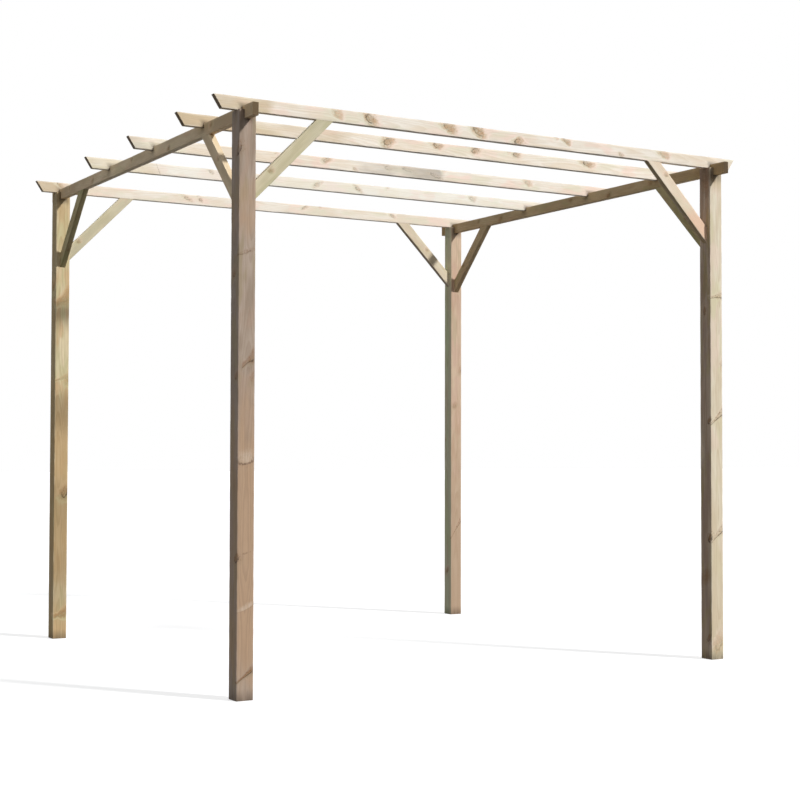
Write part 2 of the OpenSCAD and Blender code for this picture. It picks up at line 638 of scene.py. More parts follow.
class Finish(Enum):
    """The woods that the pieces are cut from."""

    # Each post's aged colour goes on its left face: painted shade, and on PINK_POST painted light. The brace
    # finishes' aged colours darken the undersides of the braces under the rafters as painted shade.
    TAUPE_POST = WoodFinish(
        pale=tone(181, 163, 147), deep=tone(161, 143, 126), blush=tone(178, 155, 137),
        moss=tone(167, 151, 125), ring=tone(136, 112, 92), stain=tone(138, 112, 90),
        lower=tone(189, 157, 127), aged=tone(146, 140, 136), aged_moss=tone(146, 132, 108),
        end=tone(120, 98, 76), amber=tone(144, 108, 80), ring_gap=0.0048, ring_depth=0.24)
    CREAM_POST = WoodFinish(
        pale=tone(240, 231, 209), deep=tone(226, 212, 185), blush=tone(238, 220, 200),
        moss=tone(225, 217, 183), ring=tone(182, 154, 118), stain=tone(188, 160, 124),
        lower=tone(218, 201, 171), aged=tone(160, 138, 124), aged_moss=tone(152, 134, 96),
        end=tone(130, 106, 78), amber=tone(204, 166, 124), ring_gap=0.0046, ring_depth=0.24)
    PINK_POST = WoodFinish(
        pale=tone(220, 196, 170), deep=tone(204, 174, 148), blush=tone(214, 184, 162),
        moss=tone(203, 184, 155), ring=tone(168, 132, 102), stain=tone(160, 128, 98),
        lower=tone(190, 164, 138), aged=tone(206, 214, 184), aged_moss=tone(196, 214, 170),
        end=tone(116, 92, 70), amber=tone(172, 130, 96), ring_gap=0.0044, ring_depth=0.24)
    OLIVE_POST = WoodFinish(
        pale=tone(229, 214, 178), deep=tone(210, 187, 144), blush=tone(214, 184, 142),
        moss=tone(206, 198, 154), ring=tone(154, 120, 80), stain=tone(156, 124, 84),
        lower=tone(196, 165, 120), aged=tone(138, 120, 84), end=tone(116, 92, 66),
        amber=tone(176, 134, 84), ring_gap=0.0046, ring_depth=0.26)
    PALE_BEAM = WoodFinish(
        pale=tone(247, 229, 197), deep=tone(236, 213, 177), blush=tone(243, 214, 182),
        moss=tone(230, 215, 177), ring=tone(190, 164, 128), stain=tone(180, 154, 120),
        lower=tone(190, 167, 135), aged=tone(206, 194, 172), end=tone(98, 80, 56),
        amber=tone(196, 154, 106), end_share=0.92, ring_depth=0.24)
    BROWN_BEAM = WoodFinish(
        pale=tone(208, 185, 147), deep=tone(193, 168, 130), blush=tone(198, 168, 132),
        moss=tone(190, 174, 132), ring=tone(152, 122, 84), stain=tone(156, 128, 94),
        lower=tone(158, 134, 98), aged=tone(178, 162, 134), end=tone(90, 74, 54),
        amber=tone(156, 120, 80), end_share=0.92, ring_depth=0.26)
    PALE_RAFTER = WoodFinish(
        pale=tone(251, 243, 230), deep=tone(243, 229, 209), blush=tone(252, 229, 214),
        moss=tone(238, 232, 210), ring=tone(208, 184, 148), stain=tone(196, 178, 140),
        lower=tone(206, 184, 148), aged=tone(222, 214, 200), end=tone(104, 86, 66),
        amber=tone(206, 166, 122), aged_moss=tone(214, 208, 186), end_share=0.88, ring_gap=0.0040,
        ring_depth=0.20)
    STREAKED_RAFTER = replace(PALE_RAFTER, lower=tone(187, 179, 168))
    WHITE_RAFTER = WoodFinish(
        pale=tone(252, 248, 237), deep=tone(247, 239, 222), blush=tone(251, 238, 226),
        moss=tone(242, 240, 220), ring=tone(214, 196, 164), stain=tone(196, 184, 150),
        lower=tone(222, 205, 170), aged=tone(224, 218, 204), end=tone(104, 86, 66),
        amber=tone(206, 170, 126), aged_moss=tone(216, 212, 190), end_share=0.88, ring_gap=0.0040,
        ring_depth=0.18)
    GREEN_BRACE = WoodFinish(
        pale=tone(222, 212, 182), deep=tone(204, 194, 160), blush=tone(222, 200, 174),
        moss=tone(202, 197, 158), ring=tone(168, 150, 112), stain=tone(168, 150, 112),
        lower=tone(194, 189, 165), aged=tone(190, 182, 154), end=tone(110, 92, 68),
        amber=tone(184, 148, 102), ring_gap=0.0040, ring_depth=0.22)
    CREAM_BRACE = WoodFinish(
        pale=tone(249, 235, 214), deep=tone(241, 222, 197), blush=tone(249, 221, 199),
        moss=tone(238, 226, 198), ring=tone(184, 158, 120), stain=tone(186, 162, 126),
        lower=tone(246, 205, 176), aged=tone(150, 132, 88), end=tone(112, 92, 70),
        amber=tone(204, 160, 116), ring_gap=0.0040, ring_depth=0.22)
    OLIVE_BRACE = WoodFinish(
        pale=tone(186, 174, 134), deep=tone(166, 155, 112), blush=tone(178, 158, 120),
        moss=tone(158, 156, 110), ring=tone(128, 112, 76), stain=tone(140, 122, 84),
        lower=tone(150, 138, 98), aged=tone(160, 150, 116), end=tone(90, 76, 54),
        amber=tone(150, 120, 78), end_share=0.92, ring_depth=0.26)


@dataclass(frozen=True)
class RingPoint:
    """One point on the way around a bar's section.

    Attributes:
        side: Face that it lies on, or that comes before its arris.
        share: Place across that face, from -1 to 1 along v or w.
        angle: Share of the turn around the arris, or -1 for a point on the face.
        crack: Number of the crack whose bottom it is, or -1.
    """

    side: Side
    share: float
    angle: float = -1.0
    crack: int = -1


@dataclass(frozen=True)
class SawnRows:
    """How the section of a bar changes from row to row along it.

    Attributes:
        metres: Place of each row along the bar.
        easing: Radius of the arrises.
        inset: How far the end chamfer draws the section in.
        waves: How far each face stands out.
        wander: How far the cracks stray sideways.
    """

    metres: np.ndarray
    easing: np.ndarray
    inset: np.ndarray
    waves: Dict[Side, np.ndarray]
    wander: np.ndarray


@dataclass
class Bar:
    """One straight length of timber, drawn in its own frame: u along it, v and w across it.

    Attributes:
        node: CAD node that it stands for.
        slot: Material slot of the record; not used.
        finish: Wood that it is cut from.
        length: Length along u, in metres.
        width: Size along v, in metres.
        height: Size along w, in metres.
        place: Matrix from the bar's frame to the row's frame.
        seed: Seed for its small irregularities and its grain.
        round_edge: Radius of the eased arrises.
        pith: Where the tree's middle lies in the section, v and w.
        cut_low: How far both ends are cut back at the low w edge.
        cut_high: How far both ends are cut back at the high w edge.
        bow: Sideways bow at mid length.
        damp_start: Height of the damp stain at the bar's start.
        grime_reach: How far the painted shade spreads from a seat.
        tints: Distance along the bar and share of the lower colour there, in order.
        aged: How strongly each face takes the aged colour, 0 to 1: weathering, and on some faces painted
            shade and painted light.
        knots: Branches that show.
        checks: Drying cracks.
        cutters: Low and high corners of the boxes that are cut out.
    """

    node: str
    slot: str
    finish: Finish
    length: float
    width: float
    height: float
    place: Matrix
    seed: int
    round_edge: float
    pith: Tuple[float, float]
    cut_low: float = 0.0
    cut_high: float = 0.0
    bow: float = 0.0
    damp_start: float = 0.0
    grime_reach: float = 0.020
    tints: Tints = field(default_factory=lambda: [(0.0, 0.0)])
    aged: Dict[Side, float] = field(default_factory=dict)
    knots: List[Knot] = field(default_factory=list)
    checks: List[Check] = field(default_factory=list)
    cutters: List[Box] = field(default_factory=list)

    # Distances between points along and across the bar, and the row nearest an end
    STEP: ClassVar[float] = 0.012
    ACROSS: ClassVar[float] = 0.0075
    END_ROW: ClassVar[float] = 0.004
    # Fewest steps along the bar, and fewest points across a face
    FEWEST_STEPS: ClassVar[int] = 4
    FEWEST_ACROSS: ClassVar[int] = 3
    # How many waves are added, and the shortest in metres, for arrises, faces, cracks and the pith
    EASING_WAVES: ClassVar[Tuple[int, float]] = (5, 0.05)
    FACE_WAVES: ClassVar[Tuple[int, float]] = (6, 0.06)
    CRACK_WAVES: ClassVar[Tuple[int, float]] = (4, 0.15)
    PITH_WAVES: ClassVar[Tuple[int, float]] = (3, 0.7)
    # How much longer than the shortest a wave can be, and what brings the sum of waves near one
    WAVE_SPAN: ClassVar[float] = 6
    WAVE_PEAK: ClassVar[float] = 1.4
    # Chamfer of the sawn ends, and the angle in degrees above which an edge stays sharp
    CHAMFER: ClassVar[float] = 0.0010
    SHARP_ANGLE: ClassVar[float] = 34
    # Points on the turn of an arris, how unevenly it is eased, and the limits of that
    ARRIS: ClassVar[Tuple[float, float]] = (1 / 3, 2 / 3)
    EASING_SWING: ClassVar[float] = 0.35
    EASING_LIMITS: ClassVar[Tuple[float, float]] = (0.4, 1.8)
    # Ripple of the sawn faces, and how far a crack strays
    FACE_RIPPLE: ClassVar[float] = 0.00025
    CRACK_WANDER: ClassVar[float] = 0.0012
    # Half the width of a crack, and the room kept clear beside it in such halves
    CRACK_LIP: ClassVar[float] = 0.0013
    CRACK_ROOM: ClassVar[float] = 2.5
    # Widths of the worn band at an arris and of the coloured band at a sawn end
    WORN_BAND: ClassVar[float] = 0.006
    END_BAND: ClassVar[float] = 0.0009
    # Depth at which painted shade in a crack begins, how much deeper it is fully dark, and where it ends
    CRACK_DARK: ClassVar[float] = 0.0012
    CRACK_FADE: ClassVar[float] = 0.002
    CRACK_FLOOR: ClassVar[float] = 0.008
    # Strengths of the damp at a foot and of the painted shade around a seat
    DAMP: ClassVar[float] = 0.7
    GRIME: ClassVar[float] = 0.9
    # Wander and lean of the pith, what is added to a bar's seed for them, and the grain between bars
    PITH_WANDER: ClassVar[float] = 0.010
    PITH_LEAN: ClassVar[float] = 0.008
    PITH_SEED: ClassVar[int] = 500
    GRAIN_APART: ClassVar[float] = 3.7
    # How far a knot's stain reaches, and what counts as out of its reach, in knot radii
    KNOT_REACH: ClassVar[float] = 3.6
    FAR: ClassVar[float] = 9.0
    # Where a branch starts behind the middle of the section, and its thinnest and thickest shares
    BRANCH_ROOT: ClassVar[float] = -0.6
    BRANCH_TAPER: ClassVar[Tuple[float, float]] = (0.35, 1.1)
    # Share of a branch that doesn't show, for one from well inside and for one with its own start
    BRANCH_HIDDEN: ClassVar[float] = 0.25
    SPIKE_HIDDEN: ClassVar[float] = -0.3
    # Faces of a box whose corners are listed with the last axis changing fastest
    BOX_FACES: ClassVar[Sequence[Tuple[int, ...]]] = (
        (0, 1, 3, 2), (4, 6, 7, 5), (0, 4, 5, 1), (2, 3, 7, 6), (0, 2, 6, 4), (1, 5, 7, 3))

    def build(self) -> bpy.types.Object:
        """Makes the bar's mesh, cuts its seats and gives it its grain.

        Returns:
            The finished object, in the row's frame.
        """
        mesh = bpy.data.meshes.new(self.node + "_timber")
        points, faces = self._skin()
        mesh.from_pydata(points.tolist(), [], faces)
        mesh.validate()
        piece = bpy.data.objects.new(self.node + "_timber", mesh)
        bpy.context.scene.collection.objects.link(piece)
        for low, high in self.cutters:
            self._cut(piece, low, high)
        self._mark(piece.data)
        piece.data.shade_smooth()
        piece.data.set_sharp_from_angle(angle=math.radians(self.SHARP_ANGLE))
        piece.data.transform(self.place)
        if self.place.determinant() < 0:
            piece.data.flip_normals()
        piece.data.update()
        return piece

    def dress(self, piece: bpy.types.Object) -> None:
        """Gives the bar its finish and ties it to the frame.

        Args:
            piece: The bar's object.
        """
        piece.data.materials.clear()
        piece.data.materials.append(self.finish.value.material(self.node + "_wood"))
        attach(piece, "root")
        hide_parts(self.node)

    def half(self, side: Side) -> float:
        """Half the bar's size in the direction that a face looks in."""
        return (self.width if side.value[0] else self.height) / 2

    def _bowed(self, share: np.ndarray) -> np.ndarray:
        """The sideways bow at shares of the length."""
        return self.bow * 4 * share * (1 - share)

    def _cut_back(self, level: np.ndarray) -> np.ndarray:
        """Finds how far the ends are cut back.

        Args:
            level: Places along w.

        Returns:
            The distance from the bar's full length at each place.
        """
        lift = level / self.height
        return self.cut_low * (0.5 - lift) + self.cut_high * (0.5 + lift)

    @classmethod
    def _ripple(cls, rng: np.random.Generator, places: np.ndarray, waves: int, shortest: float) -> np.ndarray:
        """Adds up a few random waves.

        Args:
            rng: Source of the waves.
            places: Places along the bar, in metres.
            waves: How many waves are added.
            shortest: Length of the shortest wave, in metres.

        Returns:
            A value from about -1 to 1 at each place.
        """
        total = np.zeros_like(places)
        for _ in range(waves):
            wave = shortest * (1 + cls.WAVE_SPAN * rng.random())
            total += np.sin(2 * math.pi * (places / wave + rng.random()))
        return total / math.sqrt(waves) / cls.WAVE_PEAK

    def _outline(self) -> List[RingPoint]:
        """Lists the points around the section.

        Returns:
            The points, face after face, each face followed by its arris.
        """
        listed: List[RingPoint] = []
        for side in (Side.HIGH_V, Side.HIGH_W, Side.LOW_V, Side.LOW_W):
            half = self.half(side.following) - self.round_edge
            count = max(self.FEWEST_ACROSS, int(round(2 * half / self.ACROSS)) + 1)
            shares = [(float(share), -1) for share in np.linspace(-1, 1, count)]
            for index, crack in enumerate(self.checks):
                if crack.side is side:
                    middle = crack.across / half
                    lip = self.CRACK_LIP / half
                    shares = [spot for spot in shares if abs(spot[0] - middle) > self.CRACK_ROOM * lip]
                    shares += [(middle - lip, -1), (middle, index), (middle + lip, -1)]
            turned = side in (Side.HIGH_W, Side.LOW_V)
            shares.sort(reverse=turned)
            listed += [RingPoint(side, share, crack=crack) for share, crack in shares]
            listed += [RingPoint(side, -1.0 if turned else 1.0, angle) for angle in self.ARRIS]
        return listed

    def _skin(self) -> Tuple[np.ndarray, List[List[int]]]:
        """Lays out the bar's points and faces.

        Returns:
            The points, and the faces as lists of point numbers.
        """
        rng = np.random.default_rng(self.seed)
        count = max(self.FEWEST_STEPS, int(round(self.length / self.STEP)))
        near = np.array([0.0, self.CHAMFER, self.END_ROW]) / self.length
        along = np.unique(np.concatenate([near, np.linspace(0, 1, count + 1)[1:-1], 1 - near]))
        metres = along * self.length
        easing = 1 + self.EASING_SWING * self._ripple(rng, metres, *self.EASING_WAVES)
        rows = SawnRows(
            metres=metres,
            easing=self.round_edge * np.clip(easing, *self.EASING_LIMITS),
            inset=np.where((along <= 0) | (along >= 1), self.CHAMFER, 0.0),
            waves={side: self.FACE_RIPPLE * self._ripple(rng, metres, *self.FACE_WAVES) for side in Side},
            wander=self.CRACK_WANDER * self._ripple(rng, metres, *self.CRACK_WAVES))
        ring = np.stack([self._on_face(point, rows) if point.angle < 0 else self._on_arris(point, rows)
                         for point in self._outline()], axis=1)
        ring[:, :, 0] += self._bowed(along)[:, None]
        cut_back = self._cut_back(ring[:, :, 1])
        run = cut_back + along[:, None] * (self.length - 2 * cut_back)
        points = np.concatenate([run[:, :, None], ring], axis=2).reshape(-1, 3)
        return points, self._faces(*run.shape)

    def _on_face(self, point: RingPoint, rows: SawnRows) -> np.ndarray:
        """Places a point of a flat face in every row.

        Args:
            point: The point of the section.
            rows: How the section changes along the bar.

        Returns:
            Its v and w in each row.
        """
        side, onward = point.side, point.side.following
        out = self.half(side) - rows.inset + rows.waves[side] * (rows.inset == 0)
        if point.crack >= 0:
            out -= self.checks[point.crack].sink(rows.metres)
        across = point.share * (self.half(onward) - rows.easing - rows.inset)
        spots = np.outer(out, side.normal) + np.outer(across, np.abs(onward.normal))
        if any(crack.side is side for crack in self.checks):
            spots += np.outer(rows.wander * (1 - abs(point.share)), onward.normal)
        return spots

    def _on_arris(self, point: RingPoint, rows: SawnRows) -> np.ndarray:
        """Places a point of an eased arris in every row.

        Args:
            point: The point of the section.
            rows: How the section changes along the bar.

        Returns:
            Its v and w in each row.
        """
        turn = point.angle * math.pi / 2
        normal, onward = point.side.normal, point.side.following.normal
        square = normal + onward
        bend = normal * math.cos(turn) + onward * math.sin(turn)
        corner = square * (self.width / 2, self.height / 2)
        return corner - np.outer(rows.easing + rows.inset, square) + np.outer(rows.easing, bend)

    @staticmethod
    def _faces(rows: int, count: int) -> List[List[int]]:
        """Joins the rows of points with four-sided faces and closes both ends.

        Args:
            rows: How many rows there are.
            count: How many points a row has.

        Returns:
            The faces as lists of point numbers.
        """
        last = (rows - 1) * count
        faces: List[List[int]] = []
        for low in range(0, last, count):
            for spot in range(count):
                after = (spot + 1) % count
                faces.append([low + spot, low + after, low + count + after, low + count + spot])
        faces.append(list(range(count))[::-1])
        faces.append(list(range(last, last + count)))
        return faces

    def _cut(self, piece: bpy.types.Object, low: Triple, high: Triple) -> None:
        """Cuts a seat out of the bar.

        Args:
            piece: The bar's object, still in the bar's frame.
            low: Low corner of the seat's box.
            high: High corner of the seat's box.
        """
        block = bpy.data.meshes.new("seat")
        block.from_pydata(list(itertools.product(*zip(low, high))), [], self.BOX_FACES)
        tool = bpy.data.objects.new("seat", block)
        bpy.context.scene.collection.objects.link(tool)
        cut = piece.modifiers.new("seat", "BOOLEAN")
        cut.operation = "DIFFERENCE"
        cut.solver = "EXACT"
        cut.object = tool
        bpy.context.view_layer.update()
        shaped = bpy.data.meshes.new_from_object(piece.evaluated_get(bpy.context.evaluated_depsgraph_get()))
        piece.modifiers.clear()
        worn_out = piece.data
        piece.data = shaped
        bpy.data.meshes.remove(worn_out)
        bpy.data.objects.remove(tool)
        bpy.data.meshes.remove(block)

    def _mark(self, mesh: bpy.types.Mesh) -> None:
        """Writes the grain, knots, wear, painted shade and painted light that the finish reads.

        Args:
            mesh: The bar's mesh, still in the bar's frame.
        """
        spots = self._read(mesh.vertices, "co", float).reshape(-1, 3)
        spots[:, 1] -= self._bowed(spots[:, 0] / self.length)
        corners = spots[self._read(mesh.loops, "vertex_index", int)]
        owner = np.repeat(np.arange(len(mesh.polygons)), self._read(mesh.polygons, "loop_total", int))
        centres = self._read(mesh.polygons, "center", float).reshape(-1, 3)
        facing = self._read(mesh.polygons, "normal", float).reshape(-1, 3)
        tint = np.zeros((len(corners), 3))
        tint[:, 0] = np.interp(corners[:, 0], *zip(*self.tints))
        tint[:, 1] = self._weathered(facing)[owner]
        knot, shade = self._nearest_knots(corners, centres, owner)
        for name, domain, values in (
                ("grain", "POINT", self._from_pith(spots)), ("wear", "POINT", self._wear(spots)),
                ("tint", "CORNER", tint), ("knot", "CORNER", knot), ("knot_tone", "CORNER", shade)):
            layer = mesh.attributes.new(name, "FLOAT_VECTOR", domain)
            layer.data.foreach_set("vector", values.astype(np.float32).ravel())

    @staticmethod
    def _read(items: bpy.types.bpy_prop_collection, name: str, kind: type) -> np.ndarray:
        """Reads one property of all points, corners or faces of a mesh.

        Args:
            items: The points, corners or faces.
            name: Name of the property.
            kind: Kind of number: a vector for float, a single number for int.

        Returns:
            The numbers in one row.
        """
        values = np.zeros(len(items) * (3 if kind is float else 1), kind)
        items.foreach_get(name, values)
        return values

    def _weathered(self, facing: np.ndarray) -> np.ndarray:
        """Finds how strongly each face of the mesh takes the aged colour: weathering, painted shade and
        painted light.

        Args:
            facing: Normals of the faces, in the bar's frame.

        Returns:
            The share, 0 to 1, for each face.
        """
        shares = np.zeros(len(facing))
        for side, share in self.aged.items():
            shares += share * np.clip(facing[:, 1:] @ side.normal, 0, 1)
        return shares

    def _from_pith(self, spots: np.ndarray) -> np.ndarray:
        """Measures places from the tree's wandering middle.

        Args:
            spots: Places in the bar's frame.

        Returns:
            The same places with v and w counted from the pith, and u from this bar's own stretch of grain.
        """
        rng = np.random.default_rng(self.seed + self.PITH_SEED)
        grain = spots.copy()
        for axis, middle in enumerate(self.pith, 1):
            wander = self.PITH_WANDER * self._ripple(rng, spots[:, 0], *self.PITH_WAVES)
            lean = self.PITH_LEAN * rng.normal() * spots[:, 0]
            grain[:, axis] -= middle + (wander + lean)
        grain[:, 0] += self.GRAIN_APART * self.seed
        return grain

    def _nearest_knots(self, corners: np.ndarray, centres: np.ndarray,
                       owner: np.ndarray) -> Tuple[np.ndarray, np.ndarray]:
        """Finds the knot that each face of the mesh lies nearest to.

        Args:
            corners: Places of the faces' corners, in the bar's frame.
            centres: Middles of the faces.
            owner: Number of the face that each corner belongs to.

        Returns:
            For each corner its place from that knot, and the knot's core, bark and halo.
        """
        place = np.full((len(corners), 3), self.FAR)
        shade = np.zeros((len(corners), 3))
        best = np.full(len(centres), self.KNOT_REACH)
        for branch in self.knots:
            reach = np.linalg.norm(self._around(branch, centres) * STAIN_SHAPE, axis=1)
            nearer = reach < best
            best = np.where(nearer, reach, best)
            taken = nearer[owner]
            place[taken] = self._around(branch, corners)[taken]
            shade[taken] = (branch.core, branch.bark, branch.halo)
        return place, shade

    def _around(self, branch: Knot, spots: np.ndarray) -> np.ndarray:
        """Measures places from a branch, in branch radii.

        Args:
            branch: The knot.
            spots: Places in the bar's frame.

        Returns:
            Distance along and across the grain; far out of reach where the branch doesn't show.
        """
        normal = branch.side.normal
        half = self.half(branch.side)
        root = self.BRANCH_ROOT * half * normal if branch.heart is None else np.array(branch.heart)
        hidden = self.BRANCH_HIDDEN if branch.heart is None else self.SPIKE_HIDDEN
        aim = half * normal + branch.across * np.abs(normal[::-1]) - root
        reach = float(np.linalg.norm(aim))
        aim = aim / reach
        apart = spots[:, 1:] - root
        out = apart @ aim
        sideways = apart[:, 0] * aim[1] - apart[:, 1] * aim[0]
        radius = branch.size * np.clip(out / reach, *self.BRANCH_TAPER)
        up = spots[:, 0] - branch.along - branch.lean * (out - reach) + branch.slant * sideways
        found = np.stack([up / (radius * branch.stretch), sideways / radius, np.zeros(len(spots))], axis=1)
        found[out < hidden * reach] = self.FAR
        return found

    def _wear(self, spots: np.ndarray) -> np.ndarray:
        """Finds how near each place is to an arris and a sawn end, and how much damp and painted shade it
        takes.

        Args:
            spots: Places in the bar's frame.

        Returns:
            The three shares, 0 to 1, for each place.
        """
        from_side = self.width / 2 - np.abs(spots[:, 1])
        from_top = self.height / 2 - np.abs(spots[:, 2])
        edge = np.clip(1 - np.maximum(from_side, from_top) / self.WORN_BAND, 0, 1)
        cut_back = self._cut_back(spots[:, 2])
        to_end = np.minimum(spots[:, 0] - cut_back, self.length - cut_back - spots[:, 0])
        cut = np.clip(1 - to_end / self.END_BAND, 0, 1)
        # Crack bottoms darken with depth: painted shade in the crease
        depth = np.minimum(from_side, from_top)
        sunk = np.clip((depth - self.CRACK_DARK) / self.CRACK_FADE, 0, 1)
        damp = np.where((depth < self.CRACK_FLOOR) & (cut < 0.5), sunk, 0)
        if self.damp_start:
            damp = np.maximum(damp, self.DAMP * np.clip(1 - spots[:, 0] / self.damp_start, 0, 1))
        # Painted shade around each seat, where the next timber meets
        for low, high in self.cutters:
            from_seat = np.maximum(np.array(low) - spots, spots - np.array(high)).max(axis=1)
            damp = np.maximum(damp, self.GRIME * np.clip(1 - from_seat / self.grime_reach, 0, 1))
        return np.stack([edge, cut, damp], axis=1)


def framed(origin: Vector, along: Sequence[float], across: Sequence[float], up: Sequence[float]) -> Matrix:
    """Makes the matrix that sets a bar in the row's frame.

    Args:
        origin: Where the bar's start lies.
        along: Direction of u.
        across: Direction of v.
        up: Direction of w.

    Returns:
        The matrix.
    """
    matrix = Matrix.Identity(4)
    for column, axis in enumerate((along, across, up, origin)):
        for row in range(3):
            matrix[row][column] = axis[row]
    return matrix


class Corner(Enum):
    """The four corners of the frame, as signs along X and Y."""

    FRONT_LEFT = (-1, -1)
    FRONT_RIGHT = (1, -1)
    BACK_LEFT = (-1, 1)
    BACK_RIGHT = (1, 1)

    @property
    def label(self) -> str:
        """The corner's name in the CAD nodes."""
        return self.name.lower()

    @property
    def beam(self) -> str:
        """The node of the side beam over this corner."""
        return "beam_left" if self.value[0] < 0 else "beam_right"


class Timbers:
    """Bars that belong together."""

    def bars(self) -> List[Bar]:
        """Lays out the bars, which each group does in its own way."""
        raise NotImplementedError

    def build(self) -> List[bpy.types.Object]:
        """Builds and dresses the bars.

        Returns:
            The finished pieces, in order.
        """
        pieces = []
        for bar in self.bars():
            piece = bar.build()
            bar.dress(piece)
            pieces.append(piece)
        return pieces


